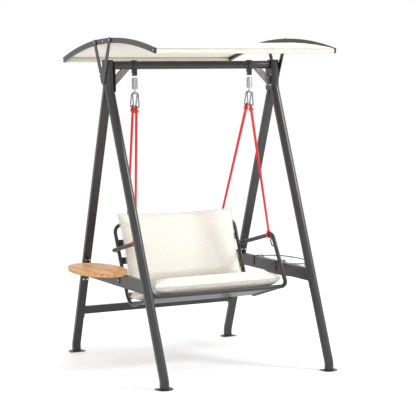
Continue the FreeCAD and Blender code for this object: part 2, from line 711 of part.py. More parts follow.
hang_x = size("hanger_spacing") / 2
pivot_z = frame_top - size("pivot_drop")
collar_r = beam_radius + size("collar_thickness")
collar_w = size("collar_width")
lug_r = size("collar_lug") / 2
pin_r = size("pin_diameter") / 2
loop_r = size("spring_loop_radius")
spring_wire = size("spring_wire") / 2
collars = []
pins = []
for side_name, side in SIDES:
    x_mid = side * hang_x
    band = Part.makeCylinder(collar_r, collar_w, V(x_mid - collar_w / 2, 0, beam_z), X_AXIS)
    lug = Part.makeBox(collar_w, 2 * lug_r, beam_z - pivot_z,
                       V(x_mid - collar_w / 2, -lug_r, pivot_z))
    tip = Part.makeCylinder(lug_r, collar_w, V(x_mid - collar_w / 2, 0, pivot_z), X_AXIS)
    collar = band.fuse([lug, tip]).removeSplitter()
    collar = collar.cut(Part.makeCylinder(beam_radius, collar_w + 2,
                                          V(x_mid - collar_w / 2 - 1, 0, beam_z), X_AXIS))
    slot = Part.makeBox(size("collar_slot"), 80, 42,
                        V(x_mid - size("collar_slot") / 2, -40, pivot_z - 14))
    hole = Part.makeCylinder(pin_r, collar_w + 2, V(x_mid - collar_w / 2 - 1, 0, pivot_z), X_AXIS)
    collars.append(collar.cut(slot).cut(hole))
    pin = Part.makeCylinder(pin_r, collar_w, V(x_mid - collar_w / 2, 0, pivot_z), X_AXIS)
    for way in (-1, 1):
        face = V(x_mid + way * collar_w / 2, 0, pivot_z)
        pin = pin.fuse(Part.makeCylinder(6.5, 3, face, V(way, 0, 0)))
    pins.append(pin.removeSplitter())
nodes.append(feature("hanger_collars", Part.makeCompound(collars)))
nodes.append(feature("hanger_pins", Part.makeCompound(pins)))

top_loop_z = pivot_z + pin_r + 0.05 + spring_wire - loop_r
coil_top = top_loop_z - loop_r - 6
coil_low = coil_top - size("spring_length")
low_loop_z = coil_low - 6 - loop_r


def spring_shape(x_mid):
    """A close-wound extension spring with a round eye at each end."""
    mean = size("spring_diameter") / 2 - spring_wire
    pitch = size("spring_wire") * 1.16
    helix = Part.makeHelix(pitch, size("spring_length"), mean)
    profile = Part.Wire([Part.makeCircle(spring_wire, V(mean, 0, 0), Y_AXIS)])
    coil = Part.Wire(helix.Edges).makePipeShell([profile], True, True)
    coil.translate(V(x_mid, 0, coil_low))
    eyes = []
    for level, edge_level, way in ((top_loop_z, coil_top, 1), (low_loop_z, coil_low, -1)):
        eyes.append(Part.makeTorus(loop_r, spring_wire, V(x_mid, 0, level), X_AXIS))
        neck = Part.makeCylinder(spring_wire, 8, V(x_mid, 0, edge_level - 1 if way > 0
                                                   else edge_level - 7), Z_AXIS)
        bridge = Part.makeCylinder(spring_wire, mean, V(x_mid, 0, edge_level), X_AXIS)
        eyes += [neck, bridge]
    return coil.fuse(eyes)


for side_name, side in SIDES:
    nodes.append(feature("spring_" + side_name, spring_shape(side * hang_x)))

# ---------------------------------------------------------------- bench frame

arm_x = size("arm_spacing") / 2
back_x = size("back_spacing") / 2
arm_r = size("arm_tube") / 2
back_r = size("back_tube") / 2
wall = size("tube_wall")
front_rail = V(0, -size("front_rail_back"), size("front_rail_level"))
arm_corner = V(0, -size("arm_corner_back"), size("arm_corner_level"))
arm_end = V(0, size("arm_rear"), size("arm_rear_level"))
knee = V(0, size("knee_back"), size("knee_level"))
back_top = V(0, size("back_top"), size("back_top_level"))


def at(point, x):
    return V(x, point.y, point.z)


back_path = route([at(front_rail, -back_x), at(knee, -back_x), at(back_top, -back_x),
                   at(back_top, back_x), at(knee, back_x), at(front_rail, back_x)],
                  [size("knee_bend"), size("back_top_bend"), size("back_top_bend"),
                   size("knee_bend")])
arm_path = route([at(arm_end, -back_x), at(arm_end, -arm_x), at(arm_corner, -arm_x),
                  at(front_rail, -arm_x), at(front_rail, arm_x), at(arm_corner, arm_x),
                  at(arm_end, arm_x), at(arm_end, back_x)],
                 [size("arm_rear_bend"), size("arm_bend"), size("arm_bend"), size("arm_bend"),
                  size("arm_bend"), size("arm_rear_bend")])
back_solid = swept(back_path, back_r)
arm_solid = swept(arm_path, arm_r)


def largest(shape):
    return max(shape.Solids, key=lambda solid: solid.Volume)


arm_loop = largest(arm_solid.cut(swept(arm_path, arm_r - wall)).cut(back_solid))
back_loop = back_solid.cut(swept(back_path, back_r - wall)).cut(arm_solid)
nodes.append(feature("arm_and_front_tube", arm_loop))
nodes.append(feature("back_and_seat_tube", largest(back_loop)))

seat_run = (front_rail - knee).normalize()
seat_up = V(0, -seat_run.z, seat_run.y).negative()
back_run = (back_top - knee).normalize()
back_out = V(0, -back_run.z, back_run.y)
seat_angle = math.degrees(math.atan2(seat_run.z, -seat_run.y))
back_angle = math.degrees(math.atan2(back_run.y, back_run.z))
slat_length = "sizes.back_spacing - sizes.back_tube"
seat_length = (front_rail - knee).Length
back_length = (back_top - knee).Length
seat_start = size("knee_bend") - 5
seat_slats = []
back_slats = []
for number in range(7):
    step = seat_start + number * size("seat_slat_pitch")
    seat_slats.append(box("seat_slat_%d" % (number + 1), slat_length, "sizes.slat_width",
                          "sizes.slat_thickness", knee + seat_run * step, -seat_angle))
for number in range(4):
    step = back_length - 131 - number * size("back_slat_pitch")
    back_slats.append(box("back_slat_%d" % (number + 1), slat_length, "sizes.slat_thickness",
                          "sizes.slat_width", knee + back_run * step, -back_angle))
nodes.append(grouped("seat_slats", seat_slats))
nodes.append(grouped("back_slats", back_slats))

eyes = []
for side_name, side in SIDES:
    centre = at(arm_corner, side * arm_x) + V(0, -8, -50)
    eye = Part.makeTorus(size("eye_radius"), size("eye_bar") / 2, centre, X_AXIS)
    eyes.append(largest(eye.cut(arm_solid)))
nodes.append(feature("side_rings", Part.makeCompound(eyes)))

# ---------------------------------------------------------------- cushions

def cushion(name, width, depth, thick, corner, run, up, shift=0.0):
    """A soft block: corner is its lower rear edge, run its long way, up its thickness."""
    block = Part.makeBox(width, depth, thick)
    block = block.makeFillet(size("cushion_round"), block.Edges)
    turn = math.degrees(math.atan2(run.z, run.y))
    block.rotate(V(0, 0, 0), X_AXIS, turn)
    check = rotate_x(V(0, 0, 1), turn)
    if check.dot(up) < 0:
        block.rotate(V(0, 0, 0), run, 180)
        block.translate(V(width, 0, 0))
    block.translate(V(shift - width / 2, 0, 0) + corner)
    return feature(name, block)


clear = back_r + 0.5
seat_corner = knee + seat_run * size("seat_cushion_set") + seat_up * clear
nodes.append(cushion("seat_cushion", size("seat_cushion_width"),
                     seat_length - size("seat_cushion_set") - 2,
                     size("seat_cushion_thickness"), seat_corner, seat_run, seat_up))
cushion_lean = size("back_cushion_lean")
cushion_run = rotate_x(back_run, cushion_lean)
cushion_out = rotate_x(back_out, cushion_lean)
rest = (clear + size("seat_cushion_thickness") + 1.5) / back_run.dot(seat_up)
back_corner = knee + back_run * (rest + 1) + back_out * (clear + 1)
nodes.append(cushion("back_cushion", size("back_cushion_width"), size("back_cushion_length"),
                     size("back_cushion_thickness"), back_corner, cushion_run, cushion_out,
                     -size("back_cushion_shift")))

# ---------------------------------------------------------------- snap hooks and ropes

rod = size("hook_rod") / 2
rope_r = size("rope_diameter") / 2
hook_w = size("hook_width") / 2
hook_l = size("hook_length")
bend = size("hook_bend")
gate_low = -hook_l + 20
gate_high = -18
rest_radius = loop_r - spring_wire - rod - 0.1
hang_point_z = low_loop_z - math.sqrt(rest_radius ** 2 - (size("hook_spacing") / 2) ** 2)


def hook_frame(side, way):
    """Where a snap hook hangs, and the rope's direction below it."""
    top = V(side * hang_x, way * size("hook_spacing") / 2, hang_point_z)
    if way < 0:
        step = (size("arm_corner_back") - size("front_hitch_back"))
        run = (arm_end - arm_corner).normalize()
        target = at(arm_corner + run * (step / run.y), side * arm_x)
        tube_r = arm_r
    else:
        target = at(back_top, side * size("rear_hitch_spacing") / 2)
        tube_r = back_r
    return top, target, tube_r


def lean_of(top, target):
    fall = target - top
    return math.degrees(math.atan2(fall.y, -fall.z))


hitches = []
knots = []
for side_name, side in SIDES:
    hooks = []
    for place, way in (("front", -1), ("rear", 1)):
        tail = "%s_%s" % (place, side_name)
        top, target, tube_r = hook_frame(side, way)
        lean = lean_of(top, target)
        path = route([V(-hook_w, 0, gate_low - rod - 0.4), V(-hook_w, 0, -hook_l),
                      V(hook_w, 0, -hook_l), V(hook_w, 0, 0), V(-hook_w, 0, 0),
                      V(-hook_w, 0, gate_high + 0.4)], [bend, bend, bend, bend])
        hook = swept(path, rod)
        gate = Part.makeCylinder(rod - 0.3, gate_high - gate_low, V(-hook_w, 0, gate_low), Z_AXIS)
        for shape in (hook, gate):
            shape.rotate(V(0, 0, 0), X_AXIS, lean)
            shape.translate(top)
        hooks.append(hook)
        nodes.append(feature("snap_gate_" + tail, gate))

        bow = top + rotate_x(V(0, 0, -hook_l), lean)
        down = (target - bow).normalize()
        across = X_AXIS.cross(down).normalize()
        turn_r = rod + rope_r + 0.3
        strand_gap = rope_r + 0.8
        axis = X_AXIS if way > 0 else (arm_end - arm_corner).normalize()
        turns = [Part.makeTorus(tube_r + rope_r + 0.05, rope_r, target + axis * shift, axis)
                 for shift in (-strand_gap, strand_gap)]
        landing = target - down * (tube_r + 2 * rope_r + 0.4)
        ends = [landing + across * strand_gap * sign for sign in (-1, 1)]
        tops = [bow + across * turn_r * sign for sign in (-1, 1)]
        rope_path = Part.Wire([
            Part.makeLine(ends[0], tops[0]),
            Part.Arc(tops[0], bow - down * turn_r, tops[1]).toShape(),
            Part.makeLine(tops[1], ends[1])])
        rope = swept(rope_path, rope_r)
        print("rope_%s arc radius %.1f, length %.0f, volume / (section x length) %.4f" % (
            tail, turn_r, rope_path.Length, rope.Volume / (math.pi * rope_r ** 2 * rope_path.Length)))
        grip = Part.makeCylinder(2 * rope_r + 6.5, size("knot_height"),
                                 bow + down * size("knot_drop"), down).cut(rope)
        knots.append(grip)
        nodes.append(feature("rope_" + tail, rope))
        hitches += turns
    nodes.append(feature("snap_hooks_" + side_name, Part.makeCompound(hooks)))
nodes.append(feature("rope_hitches", Part.makeCompound(hitches)))
nodes.append(feature("rope_knots", Part.makeCompound(knots)))

# ---------------------------------------------------------------- checks and files

doc.recompute()
for obj in doc.Objects:
    bad = [word for word in obj.State if word in ("Invalid", "Error")]
    if bad:
        raise RuntimeError("%s: %s" % (obj.Label, bad))
for obj in nodes:
    shape = obj.Shape
    if shape.isNull() or not shape.isValid() or shape.Volume <= 0:
        raise RuntimeError("%s has no valid solid" % obj.Label)
    shape.exportStep("parts/%s.step" % obj.Label)
print("%d nodes" % len(nodes))
for obj in nodes:
    bound = obj.Shape.BoundBox
    print("%-26s %d solids %9.0f mm3  x %.0f..%.0f y %.0f..%.0f z %.0f..%.0f" % (
        obj.Label, len(obj.Shape.Solids), obj.Shape.Volume, bound.XMin, bound.XMax,
        bound.YMin, bound.YMax, bound.ZMin, bound.ZMax))
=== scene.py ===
# %% [markdown]
# # Porch swing
# A steel A-frame carries a stretched canvas roof and a bench that hangs on springs, snap hooks and doubled
# ropes. The hard pieces arrive finished from the CAD model. This file gives them their surfaces and makes
# the soft pieces: ropes, knots, canvas and two pillow cushions.

import json
import math

import bpy
from mathutils import Matrix, Vector, noise


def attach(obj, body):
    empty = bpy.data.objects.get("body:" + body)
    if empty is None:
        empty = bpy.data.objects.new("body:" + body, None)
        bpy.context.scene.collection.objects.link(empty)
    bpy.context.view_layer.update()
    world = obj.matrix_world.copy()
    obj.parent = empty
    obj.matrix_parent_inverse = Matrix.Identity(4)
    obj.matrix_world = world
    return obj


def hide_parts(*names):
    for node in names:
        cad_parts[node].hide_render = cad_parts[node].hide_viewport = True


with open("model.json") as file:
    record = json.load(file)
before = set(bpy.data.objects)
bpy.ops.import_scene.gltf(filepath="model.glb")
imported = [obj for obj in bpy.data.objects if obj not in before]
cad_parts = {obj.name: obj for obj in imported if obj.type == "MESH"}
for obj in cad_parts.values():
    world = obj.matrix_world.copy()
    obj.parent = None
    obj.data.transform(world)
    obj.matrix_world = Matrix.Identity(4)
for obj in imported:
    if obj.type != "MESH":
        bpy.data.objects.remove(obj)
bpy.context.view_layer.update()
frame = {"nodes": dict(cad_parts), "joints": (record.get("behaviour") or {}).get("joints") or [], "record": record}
nodes = frame["nodes"]
scene = bpy.context.scene

# %% [markdown]
# ## Camera
# A long lens from the front left, a little above the bench, keeps the uprights almost parallel. The lens
# axis passes to the right of and below the picture's middle, so the camera carries a shift on both sides.

# %% Camera
camera_data = bpy.data.cameras.new("camera")
camera_data.lens = 133.15
camera_data.sensor_width = 36.0
camera_data.shift_x = -0.2985
camera_data.shift_y = 0.5285
camera_data.clip_end = 60.0
camera = bpy.data.objects.new("camera", camera_data)
camera.location = (-4.59007, -9.59793, 2.09156)
camera.rotation_euler = (math.radians(76.32), 0.0, math.radians(-30.60))
scene.collection.objects.link(camera)
scene.camera = camera
print("camera at", tuple(round(value, 2) for value in camera.location))

# %% [markdown]
# ## Mesh helpers
# Every soft piece is made the same way: points and faces are worked out, a mesh is filled from them, and
# the object is told which body it rides on. One small helper fills the mesh, and a second one, attach, tells the
# object its body.

# %% Mesh helper
LEFT_RIGHT = (("left", -1), ("right", 1))


def make_mesh(name, points, faces, smooth=True, uvs=None):
    mesh = bpy.data.meshes.new(name)
    mesh.from_pydata([tuple(point) for point in points], [], faces)
    mesh.polygons.foreach_set("use_smooth", [smooth] * len(mesh.polygons))
    if uvs:
        layer = mesh.uv_layers.new(name="cloth")
        for loop in mesh.loops:
            layer.data[loop.index].uv = uvs[loop.vertex_index]
    mesh.update()
    piece = bpy.data.objects.new(name, mesh)
    scene.collection.objects.link(piece)
    return piece


def tube_along(points, radius_at, sides=14, closed=False):
    """Rings of points round a line, each ring turned as little as possible from the last."""
    count = len(points)
    rings = []
    normal = None
    for index, point in enumerate(points):
        before = points[(index - 1) % count] if closed or index else points[0]
        after = points[(index + 1) % count] if closed or index < count - 1 else points[-1]
        tangent = (after - before).normalized()
        if normal is None:
            normal = tangent.orthogonal().normalized()
        normal = (normal - tangent * normal.dot(tangent)).normalized()
        side = tangent.cross(normal)
        for step in range(sides):
            angle = 2 * math.pi * step / sides
            radius = radius_at(index, angle)
            rings.append(point + (normal * math.cos(angle) + side * math.sin(angle)) * radius)
    faces = []
    for index in range(count if closed else count - 1):
        after = (index + 1) % count
        for step in range(sides):
            turn = (step + 1) % sides
            faces.append((index * sides + step, index * sides + turn,
                          after * sides + turn, after * sides + step))
    if not closed:
        faces.append(tuple(range(sides))[::-1])
        faces.append(tuple((count - 1) * sides + step for step in range(sides)))
    return rings, faces


# %% [markdown]
# ## Ropes
# Each rope is one length of 10 mm braid: up from its hitch, over the bottom bow of a snap hook and down
# again. A smooth spline gives the line, and the mesh follows points read from that spline, so the braid's
# ridges can be real geometry that shows at the edge of the rope.

# %% Where the ropes run
ROPE_DIAMETER = 0.010
ROPE_STEP = 0.003
BRAID_PITCH = 0.016
KNOT_DROP = 0.022
HOOK_ROD = 0.0045
HOOK_HALF_SPACING = 0.00525
ARM_TUBE = 0.014
BACK_TUBE = 0.0125
HANGER_X = 0.425
SWING = [joint for joint in frame["joints"] if joint["name"] == "swing"][0]
HOOK_TOP_Z = SWING["pos_m"][2] - 0.12161
HOOK_LENGTH = 0.098
HITCH_GAP = 0.0058
TARGETS = {"front": (0.505, -0.118, 0.862185, ARM_TUBE, -1),
           "rear": (0.360, 0.3454, 0.938, BACK_TUBE, 1)}
print("hook bars at z", round(HOOK_TOP_Z, 4))


# %% Rope centre lines
def rope_route(place, side):
    x, y, z, tube_radius, way = TARGETS[place]
    target = Vector((side * x, y, z))
    top = Vector((side * HANGER_X, way * HOOK_HALF_SPACING, HOOK_TOP_Z))
    lean = math.atan2(target.y - top.y, top.z - target.z)
    bow = top + Vector((0, HOOK_LENGTH * math.sin(lean), -HOOK_LENGTH * math.cos(lean)))
    down = (target - bow).normalized()
    across = Vector((1, 0, 0)).cross(down).normalized()
    turn = HOOK_ROD + ROPE_DIAMETER / 2 + 0.0003
    landing = target - down * (tube_radius + ROPE_DIAMETER + 0.0004)
    points = [landing + across * -HITCH_GAP,
              bow + down * 0.06 - across * turn,
              bow - across * turn,
              bow - across * turn * 0.95 - down * turn * 1.15,
              bow + across * turn * 0.95 - down * turn * 1.15,
              bow + across * turn,
              bow + down * 0.06 + across * turn,
              landing + across * HITCH_GAP]
    return points, bow, down, target


def spline_points(name, points):
    """The points along a smooth spline through a route, as Blender itself draws it."""
    data = bpy.data.curves.new(name, "CURVE")
    data.dimensions = "3D"
    spline = data.splines.new("NURBS")
    spline.points.add(len(points) - 1)
    for knot, point in zip(spline.points, points):
        knot.co = (*point, 1.0)
    spline.order_u = 3
    spline.use_endpoint_u = True
    spline.resolution_u = 40
    holder = bpy.data.objects.new(name, data)
    scene.collection.objects.link(holder)
    mesh = bpy.data.meshes.new_from_object(holder)
    line = [vertex.co.copy() for vertex in mesh.vertices]
    bpy.data.objects.remove(holder)
    bpy.data.meshes.remove(mesh)
    return line


def even_steps(line, step):
    """Points the same distance apart along a line."""
    result = [line[0]]
    left = step
    for start, end in zip(line, line[1:]):
        length = (end - start).length
        place = left
        while place < length:
            result.append(start.lerp(end, place / length))
            place += step
        left = place - length
    result.append(line[-1])
    return result


# %% Braided rope
def braid_radius(step):
    def radius(index, angle):
        along = index * step / BRAID_PITCH * 2 * math.pi
        ridge = abs(math.sin(angle * 3 + along)) * abs(math.sin(angle * 3 - along))
        return ROPE_DIAMETER / 2 * (0.93 + 0.10 * ridge)
    return radius


ropes = {}
rope_lines = {}
for place in TARGETS:
    for side_name, side in LEFT_RIGHT:
        tail = place + "_" + side_name
        points, bow, down, target = rope_route(place, side)
        line = even_steps(spline_points("route_" + tail, points), ROPE_STEP)
        rings, faces = tube_along(line, braid_radius(ROPE_STEP), 12)
        rope = make_mesh("braided_rope_" + tail, rings, faces)
        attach(rope, "seat")
        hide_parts("rope_" + tail)
        ropes[tail] = rope
        rope_lines[tail] = (bow, down, target)

# %% [markdown]
# ## Knots and hitches
# Under each hook both strands pass through a fat knot, and at the bench the rope is wound round the tube.
# A knot is several turns of the same rope, so both are wound from the braid and not cut from a block.

# %% Knots
def wound(centre, axis, radius, pitch, turns, thick, squash=1.0):
    """A rope wound round an axis."""
    axis = axis.normalized()
    first = axis.orthogonal().normalized()
    second = axis.cross(first)
    steps = int(turns * 40)
    line = []
    for step in range(steps + 1):
        angle = 2 * math.pi * turns * step / steps
        offset = axis * (pitch * turns * (step / steps - 0.5))
        line.append(centre + offset + first * math.cos(angle) * radius
                    + second * math.sin(angle) * radius * squash)
    return tube_along(line, lambda index, angle: thick
                      * (0.94 + 0.08 * abs(math.sin(angle * 3 + index * 0.6))), 10)


def joined(name, parts):
    points = []
    faces = []
    for part_points, part_faces in parts:
        start = len(points)
        points += part_points
        faces += [tuple(index + start for index in face) for face in part_faces]
    return make_mesh(name, points, faces)


knot_parts = []
for bow, down, target in rope_lines.values():
    centre = bow + down * KNOT_DROP
    knot_parts.append(wound(centre, down, 0.0118, 0.007, 2.5, 0.0046))
    knot_parts.append(wound(centre + down * 0.004, down.cross(Vector((1, 0.3, 0))),
                            0.0105, 0.006, 1.2, 0.0044))
knots = joined("wound_knots", knot_parts)
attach(knots, "seat")
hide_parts("rope_knots")

# %% Hitches round the bench tubes
arm_direction = Vector((0, 0.439, -0.101)).normalized()
hitch_parts = []
for tail, (bow, down, target) in rope_lines.items():
    tube_radius = TARGETS[tail.split("_")[0]][3]
    axis = arm_direction if tail.startswith("front") else Vector((1, 0, 0))
    hitch_parts.append(wound(target, axis, tube_radius + 0.0050, 0.0102, 2.3, 0.0048))
    hitch_parts.append(wound(target - down * (tube_radius + 0.010), down,
                             0.0115, 0.007, 1.5, 0.0042, 0.8))
hitches = joined("wound_hitches", hitch_parts)
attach(hitches, "seat")
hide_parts("rope_hitches")
print("knots", len(knots.data.vertices), "hitches", len(hitches.data.vertices))

# %% [markdown]
# ## Canopy cloth
# Canvas is stretched between two curved side rails and wrapped round the rails at both ends. One curved
# sheet is made, flatter than the rails it hangs between. It dips a little towards the middle, because
# stretched cloth never stays quite straight, and faint tension ripples run in from the side rails.

# %% Curve of the canopy
CANOPY_TILT = math.radians(2.33)
CANOPY_HALF = 0.763
CANOPY_RISE = 0.093
ARCH_RADIUS = CANOPY_HALF ** 2 / (2 * CANOPY_RISE) + CANOPY_RISE / 2
ALONG = Vector((0, math.cos(CANOPY_TILT), -math.sin(CANOPY_TILT)))
ABOVE = Vector((0, math.sin(CANOPY_TILT), math.cos(CANOPY_TILT)))
ARCH_CENTRE = Vector((0, -0.042, 2.077)) + ABOVE * (CANOPY_RISE - ARCH_RADIUS)
HALF_SWEEP = math.asin(CANOPY_HALF / ARCH_RADIUS)
CLOTH_HALF = 0.6245
CLOTH_END = 0.0136
CLOTH_SAG = 0.0261
CANVAS_THICK = 0.0014
HEM_REACH = 0.0138


def arch_point(fraction, offset, x):
    turn = HALF_SWEEP * fraction
    ray = ALONG * math.sin(turn) + ABOVE * math.cos(turn)
    return ARCH_CENTRE + ray * (ARCH_RADIUS + offset) + Vector((x, 0, 0))


# %% Sheet of cloth
ROWS, COLUMNS = 96, 80
points = []
uvs = []
for row in range(ROWS + 1):
    fraction = -0.997 + 1.994 * row / ROWS
    for column in range(COLUMNS + 1):
        share = -1 + 2 * column / COLUMNS
        flat = CLOTH_SAG * (1 - fraction ** 2)
        dip = 0.004 * (1 - share ** 2) * (1 - fraction ** 8)
        ripple = 0.0008 * math.sin(fraction * 34) * abs(share) ** 5 * (1 - fraction ** 6)
        points.append(arch_point(fraction, CLOTH_END - flat - dip + ripple, share * CLOTH_HALF))
        uvs.append((share * CLOTH_HALF, fraction * HALF_SWEEP * ARCH_RADIUS))
faces = [(row * (COLUMNS + 1) + column, row * (COLUMNS + 1) + column + 1,
          (row + 1) * (COLUMNS + 1) + column + 1, (row + 1) * (COLUMNS + 1) + column)
         for row in range(ROWS) for column in range(COLUMNS)]
canvas = make_mesh("canopy_canvas", points, faces, uvs=uvs)
thickness = canvas.modifiers.new("cloth thickness", "SOLIDIFY")
thickness.thickness = CANVAS_THICK
thickness.offset = 0.0
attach(canvas, "canopy")
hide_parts("canopy_fabric")


# %% Hems wrapped round the end rails
def hem_sleeve(name, fraction):
    """A flattened sleeve of cloth round one end rail, with soft gathers along its edge."""
    centre = arch_point(fraction, -0.002, 0)
    turn = HALF_SWEEP * fraction
    ahead = ALONG * math.cos(turn) - ABOVE * math.sin(turn)
    over = ALONG * math.sin(turn) + ABOVE * math.cos(turn)
    sides, steps = 28, 120
    rows = []
    for step in range(steps + 1):
        x = -CLOTH_HALF + 2 * CLOTH_HALF * step / steps
        for number in range(sides):
            angle = 2 * math.pi * number / sides
            corner = 4
            size = (abs(math.cos(angle)) ** corner + abs(math.sin(angle)) ** corner) ** (-1 / corner)
            wave = 0.0006 * noise.noise(Vector((x * 9, number * 0.4, fraction)))
            reach = (HEM_REACH + wave) * size
            hang = 0.004 * max(0.0, -math.sin(angle)) ** 3
            rows.append(centre + Vector((x, 0, 0)) + ahead * math.cos(angle) * reach
                        + over * (math.sin(angle) * reach - hang))
    faces = []
    for step in range(steps):
        for number in range(sides):
            after = (number + 1) % sides
            faces.append((step * sides + number, step * sides + after,
                          (step + 1) * sides + after, (step + 1) * sides + number))
    piece = make_mesh(name, rows, faces)
    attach(piece, "canopy")
    return piece


end_reach = 0.012 / ARCH_RADIUS / HALF_SWEEP
front_hem = hem_sleeve("canopy_front_hem", -1 + end_reach)
rear_hem = hem_sleeve("canopy_rear_hem", 1 - end_reach)

# %% [markdown]
# ## Cushions
# Both cushions are pillow covers: a top and a bottom panel meet in one sewn edge that runs all the way
# round, the corners stay pointed and the edges between them pull inward. The starting shape is that
# crowned pillow. A cloth simulation then lets air pressure swell it, which gives the uneven fullness and
# small creases that no formula has.

# %% Frame of each cushion
FRONT_RAIL = Vector((0, -0.365, 0.533))
KNEE = Vector((0, 0.115, 0.402))
BACK_TOP = Vector((0, 0.3454, 0.938))
SEAT_RUN = (FRONT_RAIL - KNEE).normalized()
SEAT_UP = Vector((0, SEAT_RUN.z, -SEAT_RUN.y))
BACK_RUN = (BACK_TOP - KNEE).normalized()
BACK_OUT = Vector((0, -BACK_RUN.z, BACK_RUN.y))
CLEAR = 0.013
LEAN = Matrix.Rotation(math.radians(5.2), 3, "X")
SEAT_SET = 0.062
SEAT_DEPTH = (FRONT_RAIL - KNEE).length - SEAT_SET - 0.002
SEAT_THICK, BACK_THICK = 0.110, 0.092
rise = (CLEAR + SEAT_THICK + 0.0015) / BACK_RUN.dot(SEAT_UP) + 0.001
SEAT_CORNER = KNEE + SEAT_RUN * SEAT_SET + SEAT_UP * CLEAR
BACK_SHIFT = Vector((-0.026, 0, 0))
BACK_CORNER = KNEE + BACK_RUN * rise + BACK_OUT * (CLEAR + 0.001) + BACK_SHIFT


# %% Pillow shape
SEAM_SHARE = 0.42
PILLOW_GRID = 0.011
EDGE_PULL = 0.015
SWELL_CAP = 0.014
SWELL_FRAMES = 20
PIPING_RADIUS = 0.0022


def pillow(name, width, depth, thick, pull):
    """A pillow in its own frame: X across, Y its depth from 0, Z its thickness from 0."""
    across, deep = int(width / PILLOW_GRID), int(depth / PILLOW_GRID)
    points, uvs, top, bottom = [], [], {}, {}
    for row in range(deep + 1):
        v = -1 + 2 * row / deep
        for column in range(across + 1):
            u = -1 + 2 * column / across
            x = u * (width / 2 - pull * (1 - v * v))
            y = depth / 2 + v * (depth / 2 - pull * (1 - u * u))
            full = ((1 - abs(u) ** 7) * (1 - abs(v) ** 6)) ** 0.36
            lift = thick * 0.56 * full
            edge = row in (0, deep) or column in (0, across)
            for layer, sign in ((top, 1), (bottom, -0.72)):
                if edge and layer is bottom:
                    bottom[row, column] = top[row, column]
                    continue
                layer[row, column] = len(points)
                points.append(Vector((x, y, thick * SEAM_SHARE + sign * lift)))
                uvs.append((x, y))
    faces = []
    for row in range(deep):
        for column in range(across):
            faces.append((top[row, column], top[row, column + 1],
                          top[row + 1, column + 1], top[row + 1, column]))
            faces.append((bottom[row, column], bottom[row + 1, column],
                          bottom[row + 1, column + 1], bottom[row, column + 1]))
    seam = ([top[0, column] for column in range(across)]
            + [top[row, across] for row in range(deep)]
            + [top[deep, column] for column in range(across, 0, -1)]
            + [top[row, 0] for row in range(deep, 0, -1)])
    return make_mesh(name, points, faces, uvs=uvs), seam


# %% Swell and crease
def swell(piece, seam, cap):
    """Blows the cover up with cloth simulation, then limits how far any point may have moved."""
    start = [vertex.co.copy() for vertex in piece.data.vertices]
    pinned = piece.vertex_groups.new(name="seam")
    pinned.add(seam, 0.55, "REPLACE")
    cloth = piece.modifiers.new("swell", "CLOTH")
    settings = cloth.settings
    settings.quality = 6
    settings.mass = 0.35
    settings.tension_stiffness = 12
    settings.compression_stiffness = 12
    settings.bending_stiffness = 0.6
    settings.use_pressure = True
    settings.uniform_pressure_force = 4.0
    settings.vertex_group_mass = "seam"
    settings.effector_weights.gravity = 0.0
    cloth.collision_settings.use_collision = False
    cloth.point_cache.frame_start, cloth.point_cache.frame_end = 1, SWELL_FRAMES
    for number in range(1, SWELL_FRAMES + 1):
        scene.frame_set(number)
    shown = piece.evaluated_get(bpy.context.evaluated_depsgraph_get())
    moved = [vertex.co.copy() for vertex in shown.data.vertices]
    piece.modifiers.remove(cloth)
    piece.vertex_groups.remove(pinned)
    scene.frame_set(1)
    for vertex, before, after in zip(piece.data.vertices, start, moved):
        step = after - before
        vertex.co = before + step * min(1.0, cap / max(step.length, 1e-9))


def crease(piece, width, depth, thick, gathers):
    """Gathers that run in from the ends, soft dents, and a flat base where the cushion rests."""
    for vertex in piece.data.vertices:
        x, y, z = vertex.co
        end = max(0.0, abs(x) / (width / 2) - 0.80) / 0.20
        side = max(0.0, abs(y - depth / 2) / (depth / 2) - 0.72) / 0.28
        lift = 1 if z > thick * SEAM_SHARE else -1
        fold = math.sin(y * 150 + 3 * noise.noise(Vector((x * 6, y * 6, 0))))
        wave = math.sin(x * 62 + 4 * noise.noise(Vector((x * 3, y * 5, 2))))
        dent = noise.noise(Vector((x * 4.5, y * 5.5, 5))) * 0.0035
        away = min(1.0, 6 * (1 - abs(x) / (width / 2)))
        vertex.co.z += lift * (gathers * fold * end * away * 0.9 + 0.0009 * wave * side * away + dent)
        vertex.co.z = min(max(vertex.co.z, 0.0015), thick + 0.006)
    piece.data.update()


# %% Place a cushion
def cushion(name, node, size, corner, run, up, gathers):
    width, depth, thick = size
    piece, seam = pillow(name, width, depth, thick, EDGE_PULL)
    swell(piece, seam, SWELL_CAP)
    crease(piece, width, depth, thick, gathers)
    place = Matrix.Translation(corner) @ Matrix((Vector((1, 0, 0)), run, up)).transposed().to_4x4()
    line = [piece.data.vertices[index].co.copy() for index in seam]
    piece.data.transform(place)
    if place.determinant() < 0:
        piece.data.flip_normals()
    piece.modifiers.new("soft", "SUBSURF").levels = 1
    piece.modifiers["soft"].render_levels = 1
    rings, faces = tube_along([place @ point for point in line],
                              lambda index, angle: PIPING_RADIUS + 0.0003 * math.sin(index * 1.9),
                              8, True)
    piping = make_mesh(name + "_seam", rings, faces)
    for item in (piece, piping):
        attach(item, "seat")
    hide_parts(node)
    print(name, "faces", len(piece.data.polygons))
    return piece, piping


seat_cushion, seat_seam = cushion(
    "seat_pillow", "seat_cushion", (0.960, SEAT_DEPTH, SEAT_THICK), SEAT_CORNER, SEAT_RUN, SEAT_UP,
    0.0042)
back_cushion, back_seam = cushion(
    "back_pillow", "back_cushion", (0.880, 0.512, BACK_THICK), BACK_CORNER, LEAN @ BACK_RUN,
    LEAN @ BACK_OUT, 0.0016)

# %% [markdown]
# ## Surfaces shared by several materials
# Powder coat, cloth and wood all vary at two scales: a fine one that catches light and a broad one that
# shifts the tone. Each effect is a node group built once, and every material gives it its own values.

